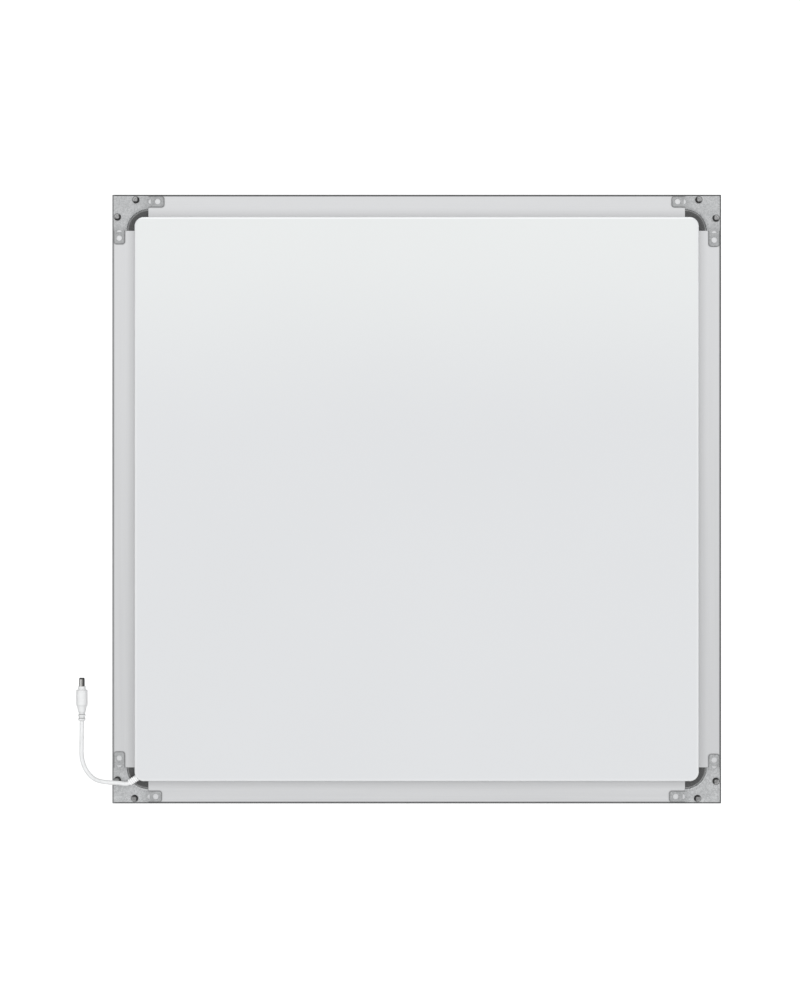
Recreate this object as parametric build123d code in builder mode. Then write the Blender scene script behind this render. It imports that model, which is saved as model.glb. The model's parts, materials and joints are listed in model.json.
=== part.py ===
from build123d import *
import math
import os

# A square edge-lit ceiling panel, 595 mm across, lying on its light-emitting face.
# Millimetres. +Z points to the back of the panel, +X to the right and +Y up on the back.
# z = 0 is the front face of the frame's rim. The lead leaves the bottom left corner.
# In the sections below, "in" is measured inward from the frame's outer faces.

# ---------------------------------------------------------------- driving dimensions
panel_side = 595.0
half = panel_side / 2

# aluminium rail
rail_height = 9.0
rail_wall = 1.2
lip_width = 12.0
flange_width = 21.85
rail_outer_radius = 1.8
rail_front_radius = 0.4
rib_start = 3.0
rib_end = 7.4
rib_depth = 1.5
rib_corner_gap = 16.0

# optical stack, as heights above the front face
diffuser_bottom = 1.25
diffuser_thickness = 1.5
guide_bottom = 2.8
guide_thickness = 3.0
guide_edge_chamfer = 0.2
reflector_bottom = 5.85
reflector_thickness = 0.25
stack_inset = 3.6
stack_side = panel_side - 2 * stack_inset

# back plate: a shallow pan of sheet steel with its hollow side down
plate_inset = 22.4
plate_top = 15.5
plate_sheet = 0.6
plate_corner_radius = 9.0
plate_edge_radius = 1.0
plate_rim_inset = 12.5
plate_rim_bottom = 7.15
plate_rim_end_gap = 1.0
corner_wall_bottom = 7.65

# foam sheet: a wide layer under the pan's rim, and a thick one inside the pan
foam_bottom = 6.15
foam_rim_gap = 0.05
foam_corner_cut = 34.0
foam_side_clearance = 0.4

# corner bracket, in a square at the corner; its two arms differ a little in reach
bracket_sheet = 1.0
bracket_inset = 1.4
bracket_square = 35.4
bracket_corner_radius = 1.0
bracket_edge_radius = 0.35
bracket_arc_radius = 20.4
roll_radius = 2.3
lug_inset = 1.6
lug_width = 10.9
lug_end_radius = 2.8
lug_hole_radius = 2.75
lug_hole_inset = 6.8
long_arm = {"hole": 44.4, "slot": 36.5, "end": 50.9, "screw": 23.2}
short_arm = {"hole": 42.5, "slot": 35.5, "end": 48.5, "screw": 22.0}
slot_radius = 2.4

# bracket screws
screw_inset = 5.2
screw_head_radius = 3.5
screw_head_height = 2.4
screw_dome_radius = 1.5
screw_shank_radius = 1.75
screw_hole_gap = 0.15
pilot_hole_gap = 0.05
screw_tip = 6.4
screw_tip_taper = 0.7
screw_turn_step = 17.0
recess_length = 3.6
recess_width = 0.8
recess_depth = 1.3

# foam seal in the gap between a bracket and the back plate
seal_top = 8.3
seal_gap = 0.1

# LED strips on the left and right rails
tape_thickness = 0.15
board_thickness = 1.0
board_bottom = 1.4
board_top = 7.6
board_length = 585.0
chip_count = 48
chip_pitch = 12.0
chip_length = 3.0
chip_height = 2.0
chip_thickness = 0.7
chip_level = 4.3
tape_margin = 0.3
bumper_length = 25.0
bumper_spacing = 200.0
bumper_count = 3

# wires
wire_radius = 0.6
wire_level = 6.9
wire_bend = 2.4
solder_thickness = 0.4
solder_height = 1.0
solder_width = 1.5
link_black_in = 8.4
link_red_in = 10.2
lead_red_in = 12.2
lead_black_in = 14.0
lead_spread = 0.9
wire_tape_count = 5
wire_tape_spacing = 110.0
wire_tape_length = 14.0
wire_tape_width = 3.4

# strain relief bush
bush_azimuth = 213.0
bush_axis_drop = 1.5
bush_level = 12.25
bush_width = 6.6
bush_height = 4.3
bush_start = 8.23
bush_end = 16.8
bush_neck_width = 5.8
bush_neck_height = 3.4
bush_neck_gap = 0.1
bush_flange_start = 4.4
bush_flange_end = 5.4
bush_flange_width = 8.0
bush_flange_height = 5.0
bush_groove_count = 4
bush_groove_pitch = 1.9
bush_groove_width = 0.8
bush_groove_depth = 0.5

# lead and plug; the plug lies on the ground and points along +Y
cord_radius = 2.15
cord_straight = 3.4
cord_bend_share = 0.45
plug_x = -327.5
plug_z = 5.55
tail_start = -216.8
taper_start = -208.2
body_start = -202.4
body_end = -186.5
neck_end = -183.1
barrel_tip = -176.1
insulator_tip = -174.8
tail_radius = 3.6
tail_core_radius = 3.0
tail_mouth_radius = 2.5
body_radius = 5.5
neck_radius = 3.7
body_chamfer = 0.8
tail_cone = 1.0
tail_rib_count = 2
tail_rib_pitch = 3.8
tail_rib_width = 1.1
tail_rib_slope = 0.4
barrel_radius = 2.75
barrel_wall = 0.35
barrel_depth = 6.0
insulator_collar_radius = 2.6
insulator_chamfer = 0.3
plug_gap = 0.02
contact_radius = 1.4
contact_bore = 1.05

# ---------------------------------------------------------------- derived dimensions
flange_thickness = rail_wall
flange_bottom = rail_height - flange_thickness
bracket_top = rail_height + bracket_sheet
arc_centre = bracket_square
roll_start = bracket_arc_radius + roll_radius
plate_side = panel_side - 2 * plate_inset
pan_side = plate_side - 2 * plate_sheet
pan_top = plate_top - plate_sheet
corner_centre = plate_inset + plate_corner_radius
board_inset = rail_wall + tape_thickness
chip_inset = board_inset + board_thickness

os.makedirs("parts", exist_ok=True)


def save(builder, node):
    """Label a finished piece and write it to its own file."""
    builder.part.label = node
    export_step(builder.part, f"parts/{node}.step")


def corner(turn):
    """The plane of one frame corner: x and y run inward along the two arms."""
    return Plane(Rotation(0, 0, turn) * Location((-half, -half, 0)))


corner_turns = {"bottom_left": 0, "bottom_right": 90, "top_right": 180, "top_left": 270}
rail_turns = {"bottom": 0, "right": 90, "top": 180, "left": 270}
arms = [("x", short_arm), ("y", long_arm)]


def along(arm, reach, inset):
    """A point of a corner, given its reach along one arm and its inset from that arm's outer face."""
    if arm == "x":
        return (reach, inset)
    return (inset, reach)


screw_points = [along(arm, sizes["screw"], screw_inset) for arm, sizes in arms]


# ---------------------------------------------------------------- frame rails
# One channel section, mitred at both ends: outer wall, front lip, back flange and a screw rib.
with BuildPart() as rail_blank:
    with BuildSketch(Plane.YZ.offset(-half)) as section:
        with BuildLine():
            Polyline(
                (0, 0),
                (lip_width, 0),
                (lip_width, rail_wall),
                (rail_wall, rail_wall),
                (rail_wall, flange_bottom),
                (rib_start, flange_bottom),
                (rib_start, flange_bottom - rib_depth),
                (rib_end, flange_bottom - rib_depth),
                (rib_end, flange_bottom),
                (flange_width, flange_bottom),
                (flange_width, rail_height),
                (0, rail_height),
                close=True,
            )
        make_face()
        fillet(section.vertices().sort_by_distance((0, rail_height))[0], rail_outer_radius)
        fillet(section.vertices().sort_by_distance((0, 0))[0], rail_front_radius)
        fillet(section.vertices().sort_by_distance((lip_width, 0))[0], rail_front_radius)
    extrude(amount=panel_side)
    # the section was drawn from y = 0, so the mitre planes pass through its outer corners
    split(bisect_by=Plane((-half, 0, 0), z_dir=(1, -1, 0)), keep=Keep.TOP)
    split(bisect_by=Plane((half, 0, 0), z_dir=(-1, -1, 0)), keep=Keep.TOP)
    # the screw rib stops short of the mitres, to let the wires pass
    for end in (-1, 1):
        with Locations((end * half, rib_start, flange_bottom)):
            Box(
                2 * rib_corner_gap,
                rib_end - rib_start,
                2 * rib_depth,
                align=(Align.CENTER, Align.MIN, Align.MAX),
                mode=Mode.SUBTRACT,
            )

for side, turn in rail_turns.items():
    with BuildPart() as frame_rail:
        add(rail_blank.part.moved(Rotation(0, 0, turn) * Location((0, -half, 0))))
        for corner_turn in corner_turns.values():
            # curved notch under the bracket's rolled edge, only inside the bracket's square
            with BuildSketch(corner(corner_turn).offset(rail_wall)) as notch:
                with Locations((arc_centre, arc_centre)):
                    Circle(roll_start + seal_gap)
                    Rectangle(
                        2 * roll_start,
                        2 * roll_start,
                        align=(Align.MAX, Align.MAX),
                        mode=Mode.INTERSECT,
                    )
            extrude(amount=rail_height, mode=Mode.SUBTRACT)
            with BuildSketch(corner(corner_turn).offset(rail_wall)) as pilot_holes:
                with Locations(*screw_points):
                    Circle(screw_shank_radius + pilot_hole_gap)
            extrude(amount=rail_height, mode=Mode.SUBTRACT)
    save(frame_rail, f"frame_rail_{side}")


# ---------------------------------------------------------------- corner brackets
# The concave edge of the bracket is rolled down towards the back plate.
with BuildPart() as rolled_edge:
    roll_plane = Plane((arc_centre, arc_centre, 0), x_dir=(1, 0, 0), z_dir=(0, -1, 0))
    bend = (roll_start, bracket_top - roll_radius)
    inner_radius = roll_radius - bracket_sheet
    with BuildSketch(roll_plane) as roll_profile:
        with BuildLine():
            CenterArc(bend, roll_radius, 90, 90)
            CenterArc(bend, inner_radius, 90, 90)
            Line((bend[0], bracket_top), (bend[0], rail_height))
            Line((bracket_arc_radius, bend[1]), (bracket_arc_radius + bracket_sheet, bend[1]))
        make_face()
    revolve(axis=Axis((arc_centre, arc_centre, 0), (0, 0, 1)))
    with Locations((arc_centre, arc_centre, 0)):
        Box(
            2 * roll_start,
            2 * roll_start,
            2 * plate_top,
            align=(Align.MAX, Align.MAX, Align.CENTER),
            mode=Mode.INTERSECT,
        )

with BuildPart() as bracket_blank:
    with BuildSketch(Plane.XY.offset(rail_height)) as sheet_outline:
        with Locations((bracket_inset, bracket_inset)):
            Rectangle(
                bracket_square - bracket_inset,
                bracket_square - bracket_inset,
                align=(Align.MIN, Align.MIN),
            )
        with Locations((arc_centre, arc_centre)):
            Circle(roll_start, mode=Mode.SUBTRACT)
        for arm, sizes in arms:
            lug_length = sizes["end"] - bracket_square + lug_end_radius
            lug_middle = sizes["end"] - lug_length / 2
            with Locations(along(arm, lug_middle, lug_inset + lug_width / 2)):
                Rectangle(*along(arm, lug_length, lug_width))
        lug_corners = [
            along(arm, sizes["end"], inset)
            for arm, sizes in arms
            for inset in (lug_inset, lug_inset + lug_width)
        ]
        for x, y in lug_corners:
            fillet(sheet_outline.vertices().sort_by_distance((x, y))[0], lug_end_radius)
        fillet(sheet_outline.vertices().sort_by_distance((0, 0))[0], bracket_corner_radius)
    extrude(amount=bracket_sheet)
    # the punch rounds every upper edge but the largest arc, where the rolled edge begins
    punched = bracket_blank.faces().sort_by(Axis.Z)[-1].edges()
    small_arcs = punched.filter_by(GeomType.CIRCLE).sort_by(SortBy.RADIUS)[:-1]
    fillet(punched.filter_by(GeomType.LINE) + small_arcs, bracket_edge_radius)
    with BuildSketch(Plane.XY.offset(rail_height)) as lug_holes:
        for arm, sizes in arms:
            with Locations(along(arm, sizes["hole"], lug_hole_inset)):
                Circle(lug_hole_radius)
    extrude(amount=bracket_sheet, mode=Mode.SUBTRACT)
    for arm, sizes in arms:
        # D-shaped slot: flat side towards the round hole
        with BuildSketch(Plane.XY.offset(rail_height)) as slot:
            with Locations(along(arm, sizes["slot"] + slot_radius / 2, lug_hole_inset)):
                Circle(slot_radius)
            with Locations(along(arm, sizes["slot"], lug_hole_inset)):
                Rectangle(*along(arm, slot_radius, 2 * slot_radius), mode=Mode.INTERSECT)
        extrude(amount=bracket_sheet, mode=Mode.SUBTRACT)
    with BuildSketch(Plane.XY.offset(rail_height)) as screw_clearance:
        with Locations(*screw_points):
            Circle(screw_shank_radius + screw_hole_gap)
    extrude(amount=bracket_sheet, mode=Mode.SUBTRACT)
    add(rolled_edge.part)

for name, turn in corner_turns.items():
    with BuildPart() as corner_bracket:
        add(bracket_blank.part.moved(corner(turn).location))
    save(corner_bracket, f"corner_bracket_{name}")


# ---------------------------------------------------------------- bracket screws
with BuildPart() as screw_blank:
    with BuildSketch(Plane.XZ) as screw_profile:
        with BuildLine():
            Polyline(
                (0, screw_tip),
                (screw_shank_radius - screw_tip_taper, screw_tip),
                (screw_shank_radius, screw_tip + screw_tip_taper),
                (screw_shank_radius, bracket_top),
                (screw_head_radius, bracket_top),
                (screw_head_radius, bracket_top + screw_head_height),
                (0, bracket_top + screw_head_height),
                close=True,
            )
        make_face()
        head_rim = (screw_head_radius, bracket_top + screw_head_height)
        fillet(screw_profile.vertices().sort_by_distance(head_rim)[0], screw_dome_radius)
    revolve(axis=Axis.Z)
    with Locations((0, 0, bracket_top + screw_head_height)):
        for length, width in ((recess_length, recess_width), (recess_width, recess_length)):
            Box(length, width, 2 * recess_depth, mode=Mode.SUBTRACT)

with BuildPart() as bracket_screws:
    for turn in corner_turns.values():
        for x, y in screw_points:
            stopped_at = (0, 0, screw_turn_step * x)
            add(screw_blank.part.moved(corner(turn).location * Location((x, y, 0), stopped_at)))
save(bracket_screws, "bracket_screws")


# ---------------------------------------------------------------- back plate
# the strain relief's axis passes a little below the centre of the plate's corner arc
bush_direction = Vector(1, 0, 0).rotate(Axis.Z, bush_azimuth)
bush_root = Vector(-half + corner_centre, -half + corner_centre - bush_axis_drop, 0)
bush_x_dir = bush_direction.rotate(Axis.Z, 90)


def bush_plane(distance):
    """The plane across the strain relief's axis, at a distance from its root."""
    origin = bush_root + bush_direction * distance + Vector(0, 0, bush_level)
    return Plane(origin, x_dir=bush_x_dir, z_dir=bush_direction)


with BuildPart() as back_plate:
    with BuildSketch(Plane.XY.offset(plate_rim_bottom)) as pan_outline:
        RectangleRounded(plate_side, plate_side, plate_corner_radius)
    extrude(amount=plate_top - plate_rim_bottom)
    fillet(back_plate.faces().sort_by(Axis.Z)[-1].edges(), plate_edge_radius)
    with BuildSketch(Plane.XY.offset(plate_rim_bottom)) as pan_hollow:
        RectangleRounded(pan_side, pan_side, plate_corner_radius - plate_sheet)
    extrude(amount=pan_top - plate_rim_bottom, mode=Mode.SUBTRACT)
    # the rim that the rails' flanges hold runs along the four sides only
    rim_width = plate_inset + plate_sheet - plate_rim_inset
    rim_length = panel_side - 2 * (bracket_square + plate_rim_end_gap)
    rim_place = half - plate_rim_inset - rim_width / 2
    with BuildSketch(Plane.XY.offset(plate_rim_bottom)) as rim:
        with Locations((0, rim_place), (0, -rim_place)):
            Rectangle(rim_length, rim_width)
        with Locations((rim_place, 0), (-rim_place, 0)):
            Rectangle(rim_width, rim_length)
    extrude(amount=plate_sheet)
    # the corners of the wall end higher, so that the wires and the seals pass beneath
    for turn in corner_turns.values():
        with BuildSketch(corner(turn)) as corner_square:
            Rectangle(bracket_square, bracket_square, align=(Align.MIN, Align.MIN))
        extrude(amount=corner_wall_bottom, mode=Mode.SUBTRACT)
    with BuildSketch(bush_plane(0)) as bush_hole:
        SlotOverall(bush_neck_width + 2 * bush_neck_gap, bush_neck_height + 2 * bush_neck_gap)
    extrude(amount=bush_end, mode=Mode.SUBTRACT)
save(back_plate, "back_plate")


# ---------------------------------------------------------------- optical stack
with BuildPart() as front_diffuser:
    with BuildSketch(Plane.XY.offset(diffuser_bottom)):
        Rectangle(stack_side, stack_side)
    extrude(amount=diffuser_thickness)
save(front_diffuser, "front_diffuser")

with BuildPart() as light_guide_plate:
    with BuildSketch(Plane.XY.offset(guide_bottom)):
        Rectangle(stack_side, stack_side)
    extrude(amount=guide_thickness)
    chamfer(light_guide_plate.faces().sort_by(Axis.Z)[-1].edges(), guide_edge_chamfer)
save(light_guide_plate, "light_guide_plate")

with BuildPart() as reflector_sheet:
    with BuildSketch(Plane.XY.offset(reflector_bottom)):
        Rectangle(stack_side, stack_side)
    extrude(amount=reflector_thickness)
save(reflector_sheet, "reflector_sheet")

# Foam fills the pan and presses the stack onto the front lip. Its corners are cut away
# under the brackets, and one corner makes room for the strain relief and the wires.
with BuildPart() as foam_backing_sheet:
    wide_layer_side = panel_side - 2 * plate_rim_inset - 2 * foam_side_clearance
    with BuildSketch(Plane.XY.offset(foam_bottom)) as wide_layer:
        Rectangle(wide_layer_side, wide_layer_side)
    extrude(amount=plate_rim_bottom - foam_rim_gap - foam_bottom)
    with BuildSketch(Plane.XY.offset(foam_bottom)) as thick_layer:
        RectangleRounded(
            pan_side - 2 * foam_side_clearance,
            pan_side - 2 * foam_side_clearance,
            plate_corner_radius - plate_sheet - foam_side_clearance,
        )
    extrude(amount=pan_top - foam_rim_gap - foam_bottom)
    with BuildSketch(corner(0).offset(foam_bottom)) as lead_pocket:
        Rectangle(foam_corner_cut, foam_corner_cut, align=(Align.MIN, Align.MIN))
    extrude(amount=plate_top, mode=Mode.SUBTRACT)
save(foam_backing_sheet, "foam_backing_sheet")


# ---------------------------------------------------------------- corner seals
# Black foam between a bracket's rolled edge and the plate's rounded corner.
with BuildPart() as seal_blank:
    with BuildSketch(Plane.XY.offset(corner_wall_bottom)) as seal_outline:
        with Locations((arc_centre, arc_centre)):
            Circle(bracket_arc_radius - seal_gap)
            Rectangle(
                2 * bracket_arc_radius,
                2 * bracket_arc_radius,
                align=(Align.MAX, Align.MAX),
                mode=Mode.INTERSECT,
            )
        with Locations((plate_inset - seal_gap, plate_inset - seal_gap)):
            RectangleRounded(
                plate_side,
                plate_side,
                plate_corner_radius + seal_gap,
                align=(Align.MIN, Align.MIN),
                mode=Mode.SUBTRACT,
            )
    extrude(amount=seal_top - corner_wall_bottom)

for name, turn in corner_turns.items():
    with BuildPart() as corner_seal:
        add(seal_blank.part.moved(corner(turn).location))
    save(corner_seal, f"corner_seal_{name}")


# ---------------------------------------------------------------- LED strips
def strip_plane(sign, inset, level):
    """A plane along the left (-1) or right (+1) rail that faces the middle of the panel."""
    origin = (sign * (half - inset), 0, level)
    return Plane(origin, x_dir=(0, -sign, 0), z_dir=(-sign, 0, 0))


board_middle = (board_bottom + board_top) / 2
board_height = board_top - board_bottom

for side, sign in (("left", -1), ("right", 1)):
    with BuildPart() as thermal_tape:
        with BuildSketch(strip_plane(sign, rail_wall, board_middle)):
            Rectangle(board_length, board_height - 2 * tape_margin)
        extrude(amount=tape_thickness)
    save(thermal_tape, f"thermal_tape_{side}")

    with BuildPart() as led_strip:
        with BuildSketch(strip_plane(sign, board_inset, board_middle)):
            Rectangle(board_length, board_height)
        extrude(amount=board_thickness)
    save(led_strip, f"led_strip_{side}")

    with BuildPart() as led_chips:
        with BuildSketch(strip_plane(sign, chip_inset, chip_level)):
            with GridLocations(chip_pitch, 0, chip_count, 1):
                Rectangle(chip_length, chip_height)
        extrude(amount=chip_thickness)
    save(led_chips, f"led_chips_{side}")

with BuildPart() as guide_plate_bumpers:
    bumper_inset = (rail_wall + stack_inset) / 2
    bumper_level = (diffuser_bottom + guide_bottom + guide_thickness) / 2
    bumper_thickness = stack_inset - rail_wall - 2 * seal_gap
    for end in (-1, 1):
        with Locations((0, end * (half - bumper_inset), bumper_level)):
            with GridLocations(bumper_spacing, 0, bumper_count, 1):
                Box(bumper_length, bumper_thickness, guide_bottom + guide_thickness - diffuser_bottom)
save(guide_plate_bumpers, "guide_plate_bumpers")


# ---------------------------------------------------------------- wiring inside
pad_inset = chip_inset + solder_thickness
left_pads = (link_black_in, link_red_in, lead_red_in, lead_black_in)
right_pads = (link_black_in, link_red_in)

with BuildPart() as solder_joints:
    for sign, pads in ((-1, left_pads), (1, right_pads)):
        for pad in pads:
            with Locations((sign * (half - chip_inset - solder_thickness / 2), pad - half, wire_level)):
                Box(solder_thickness, solder_width, solder_height)
save(solder_joints, "solder_joints")

for colour, pad in (("black", link_black_in), ("red", link_red_in)):
    with BuildPart() as link_wire:
        with BuildSketch(Plane((-half + pad_inset, pad - half, wire_level), z_dir=(1, 0, 0))):
            Circle(wire_radius)
        extrude(amount=panel_side - 2 * pad_inset)
    save(link_wire, f"link_wire_{colour}")

with BuildPart() as wire_tapes:
    tape_middle = (link_black_in + link_red_in) / 2 - half
    with Locations((0, tape_middle, wire_level + wire_radius + tape_thickness)):
        with GridLocations(wire_tape_spacing, 0, wire_tape_count, 1):
            Box(wire_tape_length, wire_tape_width, tape_thickness)
save(wire_tapes, "wire_tapes")


def lead_wire_route(spread, pad):
    """From the bush into the pan, down, back out under the pan's wall and along to a solder pad."""
    shift = bush_x_dir * spread
    turn_point = bush_root + shift + bush_direction
    corner_direction = Vector(-1, -1, 0)
    under_pad = turn_point + corner_direction * (turn_point.Y - pad + half)
    return [
        bush_root + shift + bush_direction * bush_flange_start + Vector(0, 0, bush_level),
        turn_point + Vector(0, 0, bush_level),
        turn_point + Vector(0, 0, wire_level),
        under_pad + Vector(0, 0, wire_level),
        Vector(-half + pad_inset, pad - half, wire_level),
    ]


for colour, spread, pad in (("red", lead_spread, lead_red_in), ("black", -lead_spread, lead_black_in)):
    with BuildPart() as lead_wire:
        with BuildLine() as wire_path:
            FilletPolyline(*lead_wire_route(spread, pad), radius=wire_bend)
        with BuildSketch(Plane(wire_path.line @ 0, z_dir=wire_path.line % 0)):
            Circle(wire_radius)
        sweep()
    save(lead_wire, f"lead_wire_{colour}")


# ---------------------------------------------------------------- strain relief bush
with BuildPart() as strain_relief_bush:
    with BuildSketch(bush_plane(bush_flange_start)):
        SlotOverall(bush_flange_width, bush_flange_height)
    extrude(amount=bush_flange_end - bush_flange_start)
    with BuildSketch(bush_plane(bush_flange_end)):
        SlotOverall(bush_neck_width, bush_neck_height)
    extrude(amount=bush_start - bush_flange_end)
    with BuildSketch(bush_plane(bush_start)):
        SlotOverall(bush_width, bush_height)
    extrude(amount=bush_end - bush_start)
    for groove in range(bush_groove_count):
        groove_start = bush_end - (groove + 1) * bush_groove_pitch
        with BuildSketch(bush_plane(groove_start)):
            SlotOverall(bush_width + bush_groove_depth, bush_height + bush_groove_depth)
            SlotOverall(
                bush_width - 2 * bush_groove_depth,
                bush_height - 2 * bush_groove_depth,
                mode=Mode.SUBTRACT,
            )
        extrude(amount=bush_groove_width, mode=Mode.SUBTRACT)
save(strain_relief_bush, "strain_relief_bush")


# ---------------------------------------------------------------- lead
# Out of the bush, over the bracket and a screw head, past the rail's edge, down to the ground,
# round to the left side and up into the plug's tail.
lead_exit = bush_root + bush_direction * bush_end + Vector(0, 0, bush_level)
lead_route = [
    lead_exit,
    lead_exit + bush_direction * cord_straight,
    Vector(-286.8, -278.1, 13.3),
    Vector(-291.0, -277.4, 14.6),
    Vector(-301.9, -276.8, 14.6),
    Vector(-313.7, -274.7, 9.4),
    Vector(-322.5, -267.6, 4.6),
    Vector(-328.3, -255.3, 2.25),
    Vector(-328.2, -239.3, 2.25),
    Vector(plug_x, -227.0, plug_z),
    Vector(plug_x, tail_start, plug_z),
]

lead_runs = [after - before for before, after in zip(lead_route, lead_route[1:])]
lead_radii = [
    cord_bend_share
    * min(run.length, following.length)
    / math.tan(math.radians(run.get_angle(following)) / 2)
    for run, following in zip(lead_runs, lead_runs[1:])
]

with BuildPart() as dc_lead:
    with BuildLine() as lead_path:
        FilletPolyline(*lead_route, radius=lead_radii)
    with BuildSketch(Plane(lead_path.line @ 0, z_dir=lead_path.line % 0)):
        Circle(cord_radius)
    sweep()
save(dc_lead, "dc_lead")


# ---------------------------------------------------------------- plug
plug_plane = Plane((plug_x, 0, plug_z))
plug_axis = Axis((plug_x, 0, plug_z), (0, 1, 0))
socket_end = neck_end - barrel_depth


def turned(name, outline):
    """A piece turned about the plug's axis, from (radius, place along the axis) points."""
    with BuildPart() as piece:
        with BuildSketch(plug_plane):
            with BuildLine():
                Polyline(*outline, close=True)
            make_face()
        revolve(axis=plug_axis)
    save(piece, name)


# narrow ribs on the tail's core, each with a sloped side towards the plug's body
tail_ribs = []
for rib in range(tail_rib_count):
    rib_start = tail_start + tail_cone + rib * tail_rib_pitch
    rib_stop = rib_start + tail_rib_width
    tail_ribs += [
        (tail_radius, rib_start),
        (tail_radius, rib_stop),
        (tail_core_radius, rib_stop + tail_rib_slope),
        (tail_core_radius, rib_start + tail_rib_pitch),
    ]

turned(
    "plug_body",
    [
        (0, tail_start),
        (tail_mouth_radius, tail_start),
        *tail_ribs,
        (tail_radius, taper_start),
        (body_radius - body_chamfer, body_start),
        (body_radius, body_start + body_chamfer),
        (body_radius, body_end - body_chamfer),
        (body_radius - body_chamfer, body_end),
        (neck_radius, body_end),
        (neck_radius, neck_end),
        (barrel_radius + plug_gap, neck_end),
        (barrel_radius + plug_gap, socket_end),
        (0, socket_end),
    ],
)
turned(
    "plug_barrel",
    [
        (barrel_radius - barrel_wall, socket_end),
        (barrel_radius, socket_end),
        (barrel_radius, barrel_tip),
        (barrel_radius - barrel_wall, barrel_tip),
    ],
)
turned(
    "plug_insulator",
    [
        (contact_radius + plug_gap, socket_end),
        (barrel_radius - barrel_wall - plug_gap, socket_end),
        (barrel_radius - barrel_wall - plug_gap, barrel_tip + plug_gap),
        (insulator_collar_radius, barrel_tip + plug_gap),
        (insulator_collar_radius, insulator_tip - insulator_chamfer),
        (insulator_collar_radius - insulator_chamfer, insulator_tip),
        (contact_radius + plug_gap, insulator_tip),
    ],
)
turned(
    "plug_contact",
    [
        (contact_bore, socket_end),
        (contact_radius, socket_end),
        (contact_radius, barrel_tip),
        (contact_bore, barrel_tip),
    ],
)
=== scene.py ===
import json

import bpy
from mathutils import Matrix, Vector


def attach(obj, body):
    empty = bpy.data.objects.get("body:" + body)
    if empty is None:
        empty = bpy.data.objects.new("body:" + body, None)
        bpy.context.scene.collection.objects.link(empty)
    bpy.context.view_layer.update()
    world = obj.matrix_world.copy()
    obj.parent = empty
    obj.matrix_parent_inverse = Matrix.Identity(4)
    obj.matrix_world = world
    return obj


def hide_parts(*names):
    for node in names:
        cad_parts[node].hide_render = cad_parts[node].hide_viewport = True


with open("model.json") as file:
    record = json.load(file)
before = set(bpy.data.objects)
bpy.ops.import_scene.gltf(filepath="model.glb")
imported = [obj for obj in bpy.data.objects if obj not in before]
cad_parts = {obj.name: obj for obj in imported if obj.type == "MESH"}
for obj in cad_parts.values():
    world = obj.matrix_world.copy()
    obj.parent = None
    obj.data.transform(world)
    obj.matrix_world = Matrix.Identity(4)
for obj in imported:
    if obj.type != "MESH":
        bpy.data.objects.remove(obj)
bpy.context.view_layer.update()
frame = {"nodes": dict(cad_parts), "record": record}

nodes = frame["nodes"]

# Lengths are in metres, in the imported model's own frame: +Z is the panel's back,
# +X its right and +Y its top as it lies on the floor with the light-emitting face down.
PANEL_SIDE = 0.595
RAIL_TOP = 0.009
PLATE_SIDE = 0.5502
PLATE_CORNER = 0.009
CORD_DIAMETER = 0.0043
# each corner bracket, measured inward from the frame's outer faces
LUG_ROOT = 0.030
LUG_INSET = 0.0016
LUG_WIDTH = 0.0109
LUG_RADIUS = 0.0028
LONG_LUG_END = 0.0509
SHORT_LUG_END = 0.0485
BRACKET_SQUARE = 0.0354
ARC_CENTRE = PANEL_SIDE / 2 - BRACKET_SQUARE
ROLL_INNER = 0.0204
SCREW_INSET = 0.0052
LONG_SCREW_REACH = 0.0232
SHORT_SCREW_REACH = 0.0220
# plug, whose tail gets a painted shade line TAIL_LINE past the start of each groove, and strain relief bush
PLUG_X = -0.3275
PLUG_LEVEL = 0.00555
TAIL_START = -0.2082
TAIL_PITCH = 0.0038
TAIL_LINE = 0.0022
BUSH_DIRECTION = (-0.8387, -0.5446, 0.0)
BUSH_PITCH = 0.0019
BUSH_GROOVE = 0.0008
# LED packages, as height and pitch
CHIP_LEVEL = 0.0043
CHIP_PITCH = 0.012
# data type of a mix node: its two inputs and its output
MIX_SOCKETS = {"FLOAT": (2, 3, 0), "VECTOR": (4, 5, 1), "RGBA": (6, 7, 2)}

# ---------------------------------------------------------------- camera
# Straight above the middle of the panel. The long side of the picture takes the sensor's width.
PICTURE_HEIGHT = 0.977
CAMERA_DISTANCE = 3.0
SENSOR = 36.0
camera_data = bpy.data.cameras.new("camera")
camera_data.sensor_width = SENSOR
camera_data.lens = SENSOR * CAMERA_DISTANCE / PICTURE_HEIGHT
camera_data.shift_x = -0.0167
camera_data.shift_y = -0.0009
camera = bpy.data.objects.new("camera", camera_data)
camera.location = (0, 0, RAIL_TOP + CAMERA_DISTANCE)
bpy.context.collection.objects.link(camera)
bpy.context.scene.camera = camera

# ---------------------------------------------------------------- lead
# Out of the bush, over the bracket and a screw head, down to the floor and round into the plug.
LEAD_ROUTE = [
    (-0.28019, -0.27675, 0.01225),
    (-0.28304, -0.27830, 0.01225),
    (-0.2868, -0.2775, 0.0133),
    (-0.2910, -0.2767, 0.0146),
    (-0.3019, -0.2763, 0.0146),
    (-0.3137, -0.2747, 0.0094),
    (-0.3225, -0.2676, 0.0046),
    (-0.3283, -0.2553, 0.00225),
    (-0.3282, -0.2393, 0.00225),
    (-0.3275, -0.2270, 0.00555),
    (-0.3275, -0.2168, 0.00555),
]
lead_curve = bpy.data.curves.new("lead", "CURVE")
lead_curve.dimensions = "3D"
lead_curve.resolution_u = 24
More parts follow.
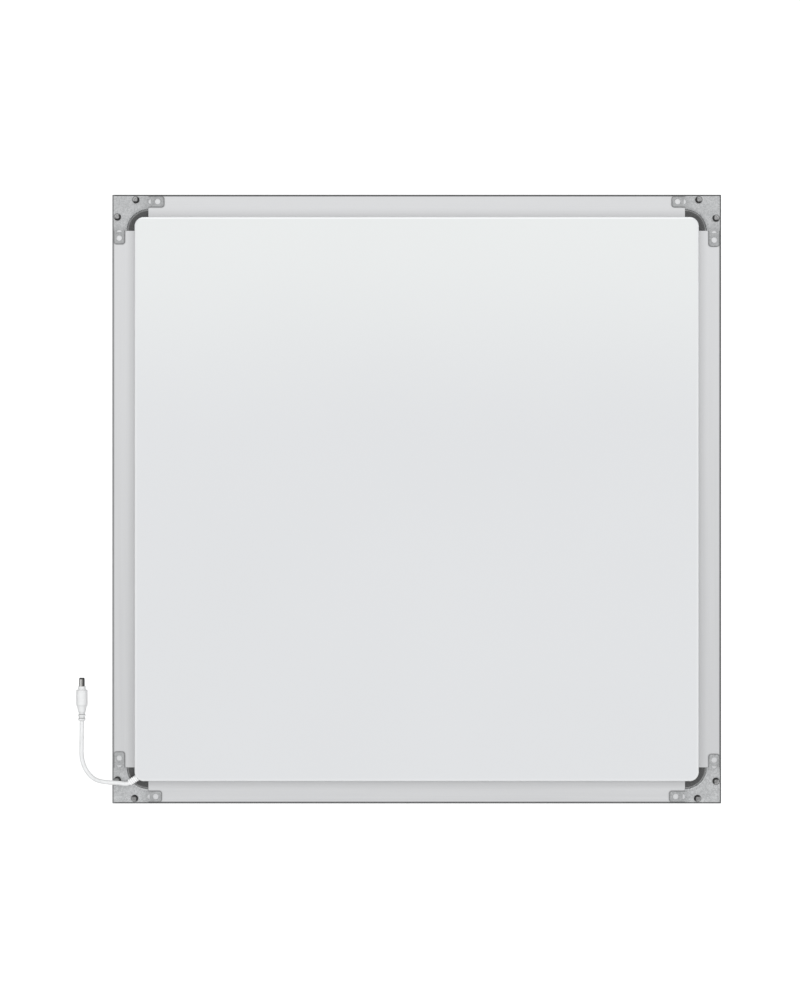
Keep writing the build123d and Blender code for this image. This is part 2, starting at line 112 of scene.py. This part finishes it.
# the curve's own box grows by each point's radius, so that radius carries the cord's real size
lead_curve.bevel_depth = 1.0
lead_curve.bevel_resolution = 10
lead_curve.use_fill_caps = True
spline = lead_curve.splines.new("NURBS")
spline.points.add(len(LEAD_ROUTE) - 1)
for point, place in zip(spline.points, LEAD_ROUTE):
    point.co = (*place, 1.0)
    point.radius = CORD_DIAMETER / 2
spline.order_u = 3
spline.use_endpoint_u = True
lead = bpy.data.objects.new("lead", lead_curve)
bpy.context.collection.objects.link(lead)
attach(lead, "root")
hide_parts("dc_lead")


# ---------------------------------------------------------------- material helpers
def opaque(value):
    """A plain colour gets its fourth channel; a socket stays as it is."""
    return (*value, 1.0) if isinstance(value, tuple) and len(value) == 3 else value


class NodeTree:
    """Short calls for the nodes that the materials and the sky use."""

    def __init__(self, tree):
        self.tree = tree

    def node(self, kind, settings=None, **inputs):
        made = self.tree.nodes.new(kind)
        for name, value in (settings or {}).items():
            setattr(made, name, value)
        for name, value in inputs.items():
            self.feed(made.inputs[name.replace("_", " ")], value)
        return made

    def feed(self, socket, value):
        if isinstance(value, bpy.types.NodeSocket):
            self.tree.links.new(value, socket)
        else:
            socket.default_value = value

    def math(self, operation, *values):
        made = self.node("ShaderNodeMath", {"operation": operation})
        for socket, value in zip(made.inputs, values):
            self.feed(socket, value)
        return made.outputs[0]

    def vector(self, operation, *values, output="Vector"):
        made = self.node("ShaderNodeVectorMath", {"operation": operation})
        for socket, value in zip(made.inputs, values):
            self.feed(socket, value)
        return made.outputs[output]

    def split(self, vector):
        return self.node("ShaderNodeSeparateXYZ", Vector=vector).outputs

    def range(self, value, low, high, start=0.0, end=1.0, smooth=False):
        settings = {"interpolation_type": "SMOOTHSTEP"} if smooth else {}
        made = self.node("ShaderNodeMapRange", settings)
        for name, number in (("From Min", start), ("From Max", end), ("To Min", low), ("To Max", high)):
            made.inputs[name].default_value = number
        self.feed(made.inputs["Value"], value)
        return made.outputs["Result"]

    def colours(self, factor, *stops):
        made = self.node("ShaderNodeValToRGB", Fac=factor)
        ramp = made.color_ramp
        while len(ramp.elements) < len(stops):
            ramp.elements.new(0.5)
        for element, (position, colour) in zip(ramp.elements, stops):
            element.position = position
            element.color = (*colour, 1.0)
        return made.outputs["Color"]

    def blend(self, kind, factor, first, second):
        first_input, second_input, output = MIX_SOCKETS[kind]
        made = self.node("ShaderNodeMix", {"data_type": kind})
        for socket, value in ((0, factor), (first_input, first), (second_input, second)):
            self.feed(made.inputs[socket], value)
        return made.outputs[output]

    def mix(self, factor, first, second):
        return self.blend("RGBA", factor, opaque(first), opaque(second))

    def mix_value(self, factor, first, second):
        return self.blend("FLOAT", factor, first, second)

    def mix_vector(self, factor, first, second):
        return self.blend("VECTOR", factor, first, second)

    def times(self, *factors):
        product = factors[0]
        for factor in factors[1:]:
            product = self.math("MULTIPLY", product, factor)
        return product

    def scaled(self, colour, amount):
        """A colour darkened (under 1) or lightened (over 1) by a factor."""
        made = self.node("ShaderNodeVectorMath", {"operation": "SCALE"})
        self.feed(made.inputs[0], colour)
        self.feed(made.inputs["Scale"], amount)
        return made.outputs["Vector"]


class Look(NodeTree):
    """A node material under construction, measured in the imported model's own frame."""

    def __init__(self, name, **shader_values):
        self.material = bpy.data.materials.new(name)
        self.material.use_nodes = True
        super().__init__(self.material.node_tree)
        self.shader = self.tree.nodes["Principled BSDF"]
        self.place = self.node("ShaderNodeTexCoord").outputs["Object"]
        for socket, value in shader_values.items():
            self.set(socket.replace("_", " "), value)

    def set(self, socket, value):
        self.feed(self.shader.inputs[socket], opaque(value))

    def stretched(self, scale):
        return self.node("ShaderNodeMapping", Scale=scale, Vector=self.place).outputs["Vector"]

    def noise(self, scale, place=None, detail=3.0, roughness=0.5, distortion=0.0):
        made = self.node(
            "ShaderNodeTexNoise",
            Scale=scale,
            Detail=detail,
            Roughness=roughness,
            Distortion=distortion,
            Vector=place or self.place,
        )
        return made.outputs["Fac"]

    def cells(self, scale, output="Color", place=None, randomness=1.0):
        made = self.node(
            "ShaderNodeTexVoronoi",
            Scale=scale,
            Vector=place or self.place,
            Randomness=randomness,
        )
        return made.outputs[output]

    def bump(self, height, distance, strength=1.0, below=None):
        made = self.node("ShaderNodeBump", Strength=strength, Distance=distance, Height=height)
        if below is not None:
            self.feed(made.inputs["Normal"], below)
        return made.outputs["Normal"]

    def corner_points(self):
        """Reach and inset along a corner's longer arm and its shorter one, the same at all four corners."""
        x, y = self.split(self.place)[:2]
        inward = self.vector("SUBTRACT", (PANEL_SIDE / 2,) * 3, self.vector("ABSOLUTE", self.place))
        across, up = self.split(inward)[:2]
        along_x = self.node("ShaderNodeCombineXYZ", X=across, Y=up).outputs[0]
        along_y = self.node("ShaderNodeCombineXYZ", X=up, Y=across).outputs[0]
        longer_is_y = self.math("GREATER_THAN", self.math("MULTIPLY", x, y), 0.0)
        longer = self.mix_vector(longer_is_y, along_x, along_y)
        shorter = self.mix_vector(longer_is_y, along_y, along_x)
        return longer, shorter

    def rounded_box(self, point, low, high, radius):
        """Distance outward from a flat rectangle with rounded corners."""
        centre = [(start + end) / 2 for start, end in zip(low, high)]
        reach = [(end - start) / 2 - radius for start, end in zip(low, high)]
        offset = self.vector("ABSOLUTE", self.vector("SUBTRACT", point, (*centre, 0)))
        past = self.vector("SUBTRACT", offset, (*reach, 0))
        outside = self.vector("LENGTH", self.vector("MAXIMUM", past, (0, 0, 0)), output="Value")
        return self.math("SUBTRACT", outside, radius)

    def lug_distance(self, longer, shorter):
        """Distance outward from the nearest bracket lug, in metres."""
        lugs = [
            self.rounded_box(point, (LUG_ROOT, LUG_INSET), (end, LUG_INSET + LUG_WIDTH), LUG_RADIUS)
            for point, end in ((longer, LONG_LUG_END), (shorter, SHORT_LUG_END))
        ]
        return self.math("MINIMUM", *lugs)

    def arc_distance(self):
        """Distance from the centre of the arc that each bracket's rolled edge follows."""
        flat = self.vector("MULTIPLY", self.place, (1, 1, 0))
        past = self.vector("SUBTRACT", self.vector("ABSOLUTE", flat), (ARC_CENTRE,) * 3)
        return self.vector("LENGTH", self.vector("MAXIMUM", past, (0, 0, 0)), output="Value")

    def square_distance(self, side, corner):
        """Distance outward from the outline of a square with rounded corners, centred on the Z axis."""
        flat = self.vector("MULTIPLY", self.place, (1, 1, 0))
        past = self.vector("SUBTRACT", self.vector("ABSOLUTE", flat), (side / 2 - corner,) * 3)
        outside = self.vector("LENGTH", self.vector("MAXIMUM", past, (0, 0, 0)), output="Value")
        return self.math("SUBTRACT", outside, corner)


def grey(value, blue=0.0):
    return (value, value, value + blue)


# ---------------------------------------------------------------- materials
def rail_aluminium(name, stretch):
    """Satin anodised aluminium with fine die lines along the rail, and light and shade painted on its top:
    painted shade on the outer edge (paler on the left rail) and towards the plate, a painted shadow round the
    lugs, lighter under the lugs, and painted light on the lower rail.
    """
    look = Look(name, Metallic=1.0)
    lines = look.noise(1.0, look.stretched(stretch), detail=4.0, roughness=0.65)
    haze = look.noise(9.0, detail=2.0)
    tone = look.mix(
        look.range(haze, 0.35, 0.65),
        look.colours(lines, (0.3, grey(0.619, 0.005)), (0.7, grey(0.656, 0.006))),
        look.colours(lines, (0.3, grey(0.607, 0.006)), (0.7, grey(0.643, 0.008))),
    )
    longer, shorter = look.corner_points()
    inset = look.math("MINIMUM", *look.split(longer)[:2])
    across, along, height = look.split(look.place)
    # painted shade along the outer edge, paler on the left rail where more light falls from that side
    edge_tone = look.range(across, 0.5, 0.22, -0.297, -0.294)
    edge = look.range(inset, 0.0, 1.0, 0.0012, 0.0025, smooth=True)
    edge = look.mix_value(edge, edge_tone, 1.0)
    # painted shade on the rail towards the raised back plate
    plate_side_shade = look.range(inset, 1.0, 0.88, 0.0125, 0.0215, smooth=True)
    lug = look.lug_distance(longer, shorter)
    lug_shadow = look.range(lug, 0.74, 1.0, 0.0, 0.0011, smooth=True)
    under_lug = look.range(lug, 1.42, 1.0, -0.0016, -0.0006)
    # painted light: the lower rail a little lighter
    lower_rail_light = look.range(along, 1.045, 1.0, -0.28, -0.25)
    shading = look.times(edge, plate_side_shade, lug_shadow, under_lug, lower_rail_light)
    # the painted light and shade above stay on the rail's top face
    on_top = look.range(height, 0.0, 1.0, RAIL_TOP - 0.0026, RAIL_TOP - 0.0019)
    look.set("Base Color", look.scaled(tone, look.mix_value(on_top, 1.0, shading)))
    look.set("Roughness", look.range(lines, 0.34, 0.5, 0.3, 0.7))
    grain = look.noise(2600.0, detail=2.0)
    die_lines = look.bump(lines, 0.00002, 0.5)
    look.set("Normal", look.bump(grain, 0.000006, 0.35, die_lines))
    return look.material


def galvanised_steel():
    """Zinc coated sheet with a fine frosty spangle, darker on the lugs, with painted shade along the lug
    edges and by the roll, painted light at the roll's inner edge, and painted lighter towards the bottom and
    darker towards the top.
    """
    look = Look("galvanised_steel", Metallic=1.0)
    spangle = look.split(look.cells(900.0))[0]
    small_spangle = look.split(look.cells(2200.0))[1]
    blotch = look.noise(95.0, detail=4.0, roughness=0.6)
    tone = look.math("ADD", look.math("MULTIPLY", spangle, 0.3), look.math("MULTIPLY", blotch, 0.4))
    tone = look.math("ADD", tone, look.math("MULTIPLY", small_spangle, 0.3))
    zinc = look.colours(tone, (0.28, (0.39, 0.394, 0.398)), (0.72, (0.58, 0.584, 0.588)))
    longer, shorter = look.corner_points()
    lug = look.lug_distance(longer, shorter)
    inward_reach = look.math("MAXIMUM", look.split(longer)[0], look.split(shorter)[0])
    on_lug = look.range(inward_reach, 1.0, 0.81, BRACKET_SQUARE - 0.009, BRACKET_SQUARE + 0.003, smooth=True)
    # painted shade along the edges of the lugs
    lug_edge = look.range(lug, 1.0, 0.62, -0.0013, -0.0002, smooth=True)
    lug_edge = look.mix_value(look.math("GREATER_THAN", inward_reach, BRACKET_SQUARE), 1.0, lug_edge)
    # painted shade along the rolled edge, and painted light at its inner rim
    roll = look.range(look.arc_distance(), 0.9, 1.0, ROLL_INNER + 0.0018, ROLL_INNER + 0.0040, smooth=True)
    roll_edge_light = look.range(look.arc_distance(), 1.6, 1.0, ROLL_INNER, ROLL_INNER + 0.0016)
    # painted light and shade: the brackets lighter towards the bottom and darker towards the top
    sheet = look.range(look.split(look.place)[1], 1.06, 0.94, -0.2, 0.2)
    look.set("Base Color", look.scaled(zinc, look.times(on_lug, lug_edge, roll, roll_edge_light, sheet)))
    look.set("Roughness", look.range(tone, 0.36, 0.5, 0.25, 0.75))
    fine = look.noise(1800.0, detail=3.0)
    look.set("Normal", look.bump(fine, 0.00001, 0.5, look.bump(tone, 0.00002, 0.3)))
    return look.material


def zinc_screw():
    """Bright zinc with painted shade on the inner side of each head and a painted darker ring round its edge.
    """
    look = Look("zinc_screw", Metallic=1.0)
    stain = look.noise(700.0, detail=4.0)
    zinc = look.colours(stain, (0.3, grey(0.29)), (0.7, grey(0.42)))
    longer, shorter = look.corner_points()
    from_long = look.vector("SUBTRACT", longer, (LONG_SCREW_REACH, SCREW_INSET, 0))
    from_short = look.vector("SUBTRACT", shorter, (SHORT_SCREW_REACH, SCREW_INSET, 0))
    long_radius = look.vector("LENGTH", from_long, output="Value")
    short_radius = look.vector("LENGTH", from_short, output="Value")
    on_short = look.math("LESS_THAN", short_radius, long_radius)
    radius = look.math("MINIMUM", long_radius, short_radius)
    from_middle = look.mix_vector(on_short, from_long, from_short)
    inward = look.vector("DOT_PRODUCT", from_middle, (0.7, 0.7, 0), output="Value")
    side = look.range(inward, 0.0, 1.0, -0.0016, 0.0008, smooth=True)
    rim = look.range(radius, 0.0, 1.0, 0.0013, 0.0021, smooth=True)
    # painted shade on the side of each head that faces the panel's middle
    inner_side_shade = look.times(side, rim)
    # painted shade in a ring round each head's edge
    rim_ring_shade = look.range(radius, 1.0, 0.62, 0.0026, 0.0034, smooth=True)
    look.set("Base Color", look.scaled(zinc, look.times(rim_ring_shade, look.range(inner_side_shade, 1.0, 0.13))))
    look.set("Roughness", look.range(stain, 0.2, 0.36, 0.3, 0.7))
    look.set("Normal", look.bump(look.noise(2500.0), 0.000008, 0.4))
    return look.material


def black_foam():
    """Open cell foam: matt, pitted, with greyish cell edges, and painted light rising steeply towards the
    bracket's rolled edge.
    """
    look = Look("black_foam")
    look.set("Specular IOR Level", 0.2)
    cells = look.cells(1900.0, "Distance")
    clumps = look.noise(350.0, detail=4.0)
    foam = look.colours(cells, (0.0, grey(0.058)), (0.8, grey(0.107)))
    # painted light: the foam lightened steeply towards the bracket's rolled edge
    roll_side_light = look.math("POWER", look.range(look.arc_distance(), 0.0, 1.0, 0.0183, ROLL_INNER), 4.0)
    look.set("Base Color", look.scaled(foam, look.range(roll_side_light, 1.08, 6.4)))
    look.set("Roughness", look.range(clumps, 0.85, 1.0))
    look.set("Normal", look.bump(cells, 0.0003, 0.9, look.bump(clumps, 0.0003, 0.6)))
    return look.material


def white_painted_steel():
    """Smooth powder coat with a faint orange peel, painted lighter and warmer towards the top, and a painted
    highlight on the folded edge, strongest along the top.
    """
    look = Look("white_painted_steel")
    look.set("Specular IOR Level", 0.45)
    peel = look.noise(520.0, detail=3.0, roughness=0.55)
    grain = look.noise(2400.0, detail=2.0)
    drift = look.noise(4.0, detail=2.0)
    # painted highlight on the folded edge
    edge = look.range(look.square_distance(PLATE_SIDE, PLATE_CORNER), 0.0, 1.0, -0.0032, -0.0006, smooth=True)
    # painted light: the paint lighter and warmer towards the top
    lower_shaded_paint = look.colours(drift, (0.3, (0.674, 0.679, 0.690)), (0.7, (0.684, 0.689, 0.700)))
    upper_lit_paint = look.colours(drift, (0.3, (0.734, 0.743, 0.739)), (0.7, (0.743, 0.753, 0.748)))
    paint = look.mix(look.range(look.split(look.place)[1], 0.0, 1.0, 0.05, 0.28, smooth=True), lower_shaded_paint, upper_lit_paint)
    # a stronger painted highlight along the top fold
    top_fold_highlight = look.range(look.split(look.place)[1], 1.0, 1.19, 0.2728, 0.2738)
    look.set("Base Color", look.scaled(look.mix(edge, paint, (0.725, 0.73, 0.735)), top_fold_highlight))
    look.set("Roughness", look.range(peel, 0.4, 0.52, 0.3, 0.7))
    look.set("Normal", look.bump(grain, 0.000012, 0.25, look.bump(peel, 0.00003, 0.3)))
    return look.material


def white_pvc(name, grain_scale, grain_height, light, groove_shade=None):
    """Soft moulded PVC, slightly uneven in tone, with a satin skin and, if asked, painted shade in its
    grooves.
    """
    look = Look(name)
    look.set("Specular IOR Level", 0.4)
    tone = look.noise(160.0, detail=3.0)
    skin = look.noise(grain_scale, detail=3.0)
    plastic = look.colours(tone, (0.3, grey(light - 0.05)), (0.7, grey(light)))
    # painted shade in the grooves
    if groove_shade:
        plastic = look.scaled(plastic, groove_shade(look))
    look.set("Base Color", plastic)
    look.set("Roughness", look.range(skin, 0.36, 0.5, 0.3, 0.7))
    look.set("Normal", look.bump(skin, grain_height, 0.4))
    return look.material


def tail_groove_shade(look):
    """Painted shade on the plug's tail where it is thinner than its ribs, with a painted shade line in each
    groove.
    """
    flat = look.vector("MULTIPLY", look.vector("SUBTRACT", look.place, (PLUG_X, 0, PLUG_LEVEL)), (1, 0, 1))
    radius = look.vector("LENGTH", flat, output="Value")
    deep = look.range(radius, 0.94, 1.0, 0.0031, 0.0035)
    along = look.split(look.place)[1]
    on_tail = look.range(along, 1.0, 0.0, TAIL_START - 0.0001, TAIL_START + 0.0002)
    phase = look.math("WRAP", look.math("SUBTRACT", TAIL_START, along), TAIL_PITCH, 0.0)
    from_line = look.math("ABSOLUTE", look.math("SUBTRACT", phase, TAIL_LINE))
    line = look.range(from_line, 0.6, 1.0, 0.0003, 0.0008, smooth=True)
    return look.mix_value(on_tail, 1.0, look.times(deep, line))


def bush_groove_shade(look):
    """Painted shade in the grooves between the bush's ribs, counted back from its outer end."""
    from_end = look.vector("SUBTRACT", look.place, LEAD_ROUTE[0])
    along = look.vector("DOT_PRODUCT", from_end, BUSH_DIRECTION, output="Value")
    phase = look.math("WRAP", along, BUSH_PITCH, 0.0)
    in_groove = look.math("LESS_THAN", phase, BUSH_GROOVE)
    return look.mix_value(in_groove, 1.0, 0.86)


def nickel_plate():
    """Nickel plating with fine turning marks round the plug's axis, and painted shade darkening its right
    side.
    """
    look = Look("nickel_plate", Metallic=1.0)
    marks = look.noise(1.0, look.stretched((60, 9000, 60)), detail=3.0)
    haze = look.noise(700.0, detail=3.0)
    nickel = look.colours(haze, (0.3, (0.43, 0.42, 0.41)), (0.7, (0.56, 0.55, 0.53)))
    # painted shade: the plating much darker on its right side
    right_side_shade = look.range(look.split(look.place)[0], 1.0, 0.22, PLUG_X - 0.0002, PLUG_X + 0.0012, smooth=True)
    look.set("Base Color", look.scaled(nickel, right_side_shade))
    look.set("Roughness", look.range(marks, 0.12, 0.26, 0.3, 0.7))
    look.set("Normal", look.bump(marks, 0.000006, 0.5))
    return look.material


def black_plastic():
    look = Look("black_plastic")
    skin = look.noise(2200.0, detail=3.0)
    look.set("Base Color", look.colours(skin, (0.3, grey(0.012)), (0.7, grey(0.025))))
    look.set("Roughness", look.range(skin, 0.35, 0.55))
    look.set("Normal", look.bump(skin, 0.00001, 0.5))
    return look.material


def opal_diffuser():
    """Opal sheet with a fine matt grain on its outer side."""
    look = Look("opal_diffuser")
    look.set("Subsurface Weight", 0.35)
    look.set("Subsurface Scale", 0.004)
    look.set("Specular IOR Level", 0.4)
    grain = look.cells(1500.0, "Distance")
    tone = look.noise(12.0, detail=2.0)
    look.set("Base Color", look.colours(tone, (0.3, (0.86, 0.87, 0.87)), (0.7, (0.9, 0.905, 0.9))))
    look.set("Roughness", look.range(grain, 0.5, 0.7, 0.0, 0.8))
    look.set("Normal", look.bump(grain, 0.00002, 0.3))
    return look.material


def clear_acrylic():
    """Clear sheet with the white dot print that turns the edge light out of it."""
    look = Look("clear_acrylic")
    look.set("IOR", 1.49)
    dots = look.cells(650.0, "Distance", place=look.stretched((1, 1, 0)), randomness=0.15)
    print_mask = look.range(dots, 1.0, 0.0, 0.26, 0.3)
    look.set("Base Color", look.mix(print_mask, (0.93, 0.97, 0.97), (0.95, 0.95, 0.95)))
    look.set("Transmission Weight", look.range(print_mask, 1.0, 0.25))
    look.set("Roughness", look.range(print_mask, 0.04, 0.6))
    look.set("Normal", look.bump(print_mask, 0.00001, 0.5))
    return look.material


def white_foam():
    """Expanded foam sheet: small closed beads under a thin skin."""
    look = Look("white_foam")
    look.set("Subsurface Weight", 0.2)
    look.set("Subsurface Scale", 0.003)
    beads = look.cells(480.0, "Distance")
    look.set("Base Color", look.colours(beads, (0.0, grey(0.94)), (0.7, grey(0.8))))
    look.set("Roughness", look.range(beads, 0.6, 0.85, 0.0, 0.7))
    look.set("Normal", look.bump(beads, 0.0002, 0.6))
    return look.material


def reflector_film():
    look = Look("reflector_film")
    fibres = look.noise(1.0, look.stretched((900, 120, 900)), detail=4.0)
    look.set("Base Color", look.colours(fibres, (0.3, grey(0.93)), (0.7, grey(0.97))))
    look.set("Roughness", look.range(fibres, 0.45, 0.65))
    look.set("Normal", look.bump(fibres, 0.000008, 0.4))
    return look.material


def white_circuit_board():
    """White solder mask with two raised copper tracks showing through along the board."""
    look = Look("white_circuit_board")
    height = look.split(look.place)[2]
    from_chips = look.math("ABSOLUTE", look.math("SUBTRACT", height, CHIP_LEVEL))
    track = look.math(
        "MULTIPLY",
        look.range(from_chips, 0.0, 1.0, 0.0013, 0.0014),
        look.range(from_chips, 1.0, 0.0, 0.0022, 0.0023),
    )
    speckle = look.noise(1500.0, detail=3.0)
    mask = look.colours(speckle, (0.3, (0.86, 0.86, 0.83)), (0.7, (0.92, 0.92, 0.9)))
    look.set("Base Color", look.mix(look.math("MULTIPLY", track, 0.5), mask, (0.9, 0.83, 0.7)))
    look.set("Roughness", look.range(speckle, 0.3, 0.45))
    look.set("Normal", look.bump(track, 0.00004, 0.6, look.bump(speckle, 0.00001, 0.3)))
    return look.material


def led_package():
    """White moulded frame round a yellow phosphor window, repeated at the packages' pitch."""
    look = Look("led_package")
    y, z = look.split(look.place)[1:]
    along_package = look.math("ABSOLUTE", look.math("WRAP", y, CHIP_PITCH / 2, -CHIP_PITCH / 2))
    # an even number of packages stands half a pitch either side of the rail's middle
    along_package = look.math("ABSOLUTE", look.math("SUBTRACT", along_package, CHIP_PITCH / 2))
    up_package = look.math("ABSOLUTE", look.math("SUBTRACT", z, CHIP_LEVEL))
    inside = look.math(
        "MULTIPLY",
        look.range(along_package, 1.0, 0.0, 0.0011, 0.0013),
        look.range(up_package, 1.0, 0.0, 0.0006, 0.0008),
    )
    grain = look.noise(3000.0, detail=3.0)
    phosphor = look.colours(grain, (0.3, (0.78, 0.6, 0.08)), (0.7, (0.9, 0.74, 0.16)))
    look.set("Base Color", look.mix(inside, (0.9, 0.9, 0.88), phosphor))
    look.set("Roughness", look.range(inside, 0.45, 0.2))
    look.set("Normal", look.bump(inside, 0.0001, 0.5, look.bump(grain, 0.00001, 0.3)))
    return look.material


def soft_sheet(name, dark, light, scale, height, roughness):
    """A tape, pad or insulation: two tones of one colour in a fine grain."""
    look = Look(name)
    grain = look.noise(scale, detail=4.0)
    look.set("Base Color", look.colours(grain, (0.3, dark), (0.7, light)))
    look.set("Roughness", look.range(grain, roughness - 0.08, roughness + 0.08, 0.3, 0.7))
    look.set("Normal", look.bump(grain, height, 0.5))
    return look.material


def solder():
    look = Look("solder", Metallic=1.0)
    flow = look.noise(900.0, detail=3.0, distortion=1.0)
    look.set("Base Color", look.colours(flow, (0.3, (0.52, 0.52, 0.53)), (0.7, (0.74, 0.74, 0.75))))
    look.set("Roughness", look.range(flow, 0.15, 0.4))
    look.set("Normal", look.bump(flow, 0.0001, 0.6))
    return look.material


RED_DARK = (0.42, 0.01, 0.01)
RED_LIGHT = (0.55, 0.02, 0.02)
# scale of the die lines on the rails, stretched along X or Y
ALONG_X = (6.0, 2600.0, 2600.0)
ALONG_Y = (2600.0, 6.0, 2600.0)
looks = {
    "galvanised_steel": galvanised_steel(),
    "zinc_screw": zinc_screw(),
    "black_foam": black_foam(),
    "white_painted_steel": white_painted_steel(),
    "white_cord_pvc": white_pvc("white_cord_pvc", 900.0, 0.000015, light=0.84),
    "nickel_plate": nickel_plate(),
    "black_plastic": black_plastic(),
    "opal_diffuser": opal_diffuser(),
    "clear_acrylic": clear_acrylic(),
    "white_foam": white_foam(),
    "reflector_film": reflector_film(),
    "white_circuit_board": white_circuit_board(),
    "led_package": led_package(),
    "solder": solder(),
    "grey_tape": soft_sheet("grey_tape", grey(0.4, 0.02), grey(0.55, 0.02), 900.0, 0.00003, 0.75),
    "amber_tape": soft_sheet("amber_tape", (0.5, 0.26, 0.03), (0.66, 0.36, 0.05), 500.0, 0.00001, 0.25),
    "silicone_pad": soft_sheet("silicone_pad", grey(0.7), grey(0.8), 700.0, 0.00003, 0.6),
    "red_insulation": soft_sheet("red_insulation", RED_DARK, RED_LIGHT, 1200.0, 0.00001, 0.35),
    "black_insulation": soft_sheet("black_insulation", grey(0.01), grey(0.022), 1200.0, 0.00001, 0.35),
}
rail_along_x = rail_aluminium("rail_along_x", ALONG_X)
rail_along_y = rail_aluminium("rail_along_y", ALONG_Y)
own_looks = {
    "frame_rail_top": rail_along_x,
    "frame_rail_bottom": rail_along_x,
    "frame_rail_left": rail_along_y,
    "frame_rail_right": rail_along_y,
    "plug_body": white_pvc("plug_pvc", 1400.0, 0.00002, light=0.82, groove_shade=tail_groove_shade),
    "strain_relief_bush": white_pvc("bush_pvc", 1400.0, 0.00002, light=0.95, groove_shade=bush_groove_shade),
}

for subpart in frame["record"]["subparts"]:
    name = subpart["node"]
    shown = nodes[name]
    shown.data.materials.clear()
    shown.data.materials.append(own_looks.get(name) or looks[subpart["material_slot"]])
lead_curve.materials.append(looks["white_cord_pvc"])

# ---------------------------------------------------------------- floor
# A pale lit table: bright to the camera, and only moderately bright to what stands on it.
FLOOR_SIZE = 60.0
bpy.ops.mesh.primitive_plane_add(size=FLOOR_SIZE, location=(0, 0, 0))
floor = bpy.context.object
floor.name = "floor"
paper = Look("floor_paper", Roughness=0.9)
paper.set("Specular IOR Level", 0.0)
paper.set("Base Color", paper.colours(paper.noise(3.0), (0.0, grey(0.4)), (1.0, grey(0.42))))
paper.set("Emission Color", (1.0, 1.0, 1.0))
seen = paper.node("ShaderNodeLightPath").outputs["Is Camera Ray"]
paper.set("Emission Strength", paper.math("MULTIPLY", seen, 0.8))
floor.data.materials.append(paper.material)


# ---------------------------------------------------------------- light
def softbox(name, place, target, size, power):
    data = bpy.data.lights.new(name, "AREA")
    data.shape = "RECTANGLE"
    data.size, data.size_y = size
    data.energy = power
    light = bpy.data.objects.new(name, data)
    light.location = place
    light.rotation_euler = (Vector(target) - Vector(place)).to_track_quat("-Z", "Y").to_euler()
    bpy.context.collection.objects.link(light)
    return light


# it hangs past the panel's top, so the back plate is a little brighter there
softbox("overhead", (0.0, 0.95, 2.4), (0, 0.95, 0), (2.6, 1.7), 4.9)

world = bpy.data.worlds.new("studio")
bpy.context.scene.world = world
world.use_nodes = True
sky = NodeTree(world.node_tree)
# height from -1 straight down to 1 straight up, then brightness: soft from below, dark at the horizon,
# brightest round the middle heights, dimmer overhead by the camera
SKY = [(-0.06, 0.5), (0.0, 0.04), (0.2, 0.04), (0.42, 1.29), (0.82, 1.29), (0.95, 0.81)]
SKY_TINT = (0.985, 0.995, 1.0)
height = sky.split(sky.node("ShaderNodeTexCoord").outputs["Generated"])[2]
light = sky.colours(
    sky.range(height, 0.0, 1.0, -1.0, 1.0),
    *(((level + 1) / 2, tuple(brightness * tint for tint in SKY_TINT)) for level, brightness in SKY),
)
seen_by_camera = sky.node("ShaderNodeLightPath").outputs["Is Camera Ray"]
backdrop = world.node_tree.nodes["Background"]
backdrop.inputs["Strength"].default_value = 1.0
sky.feed(backdrop.inputs["Color"], sky.mix(seen_by_camera, light, (1.0, 1.0, 1.0)))

bpy.context.scene.view_settings.view_transform = "Standard"
bpy.context.scene.view_settings.look = "None"
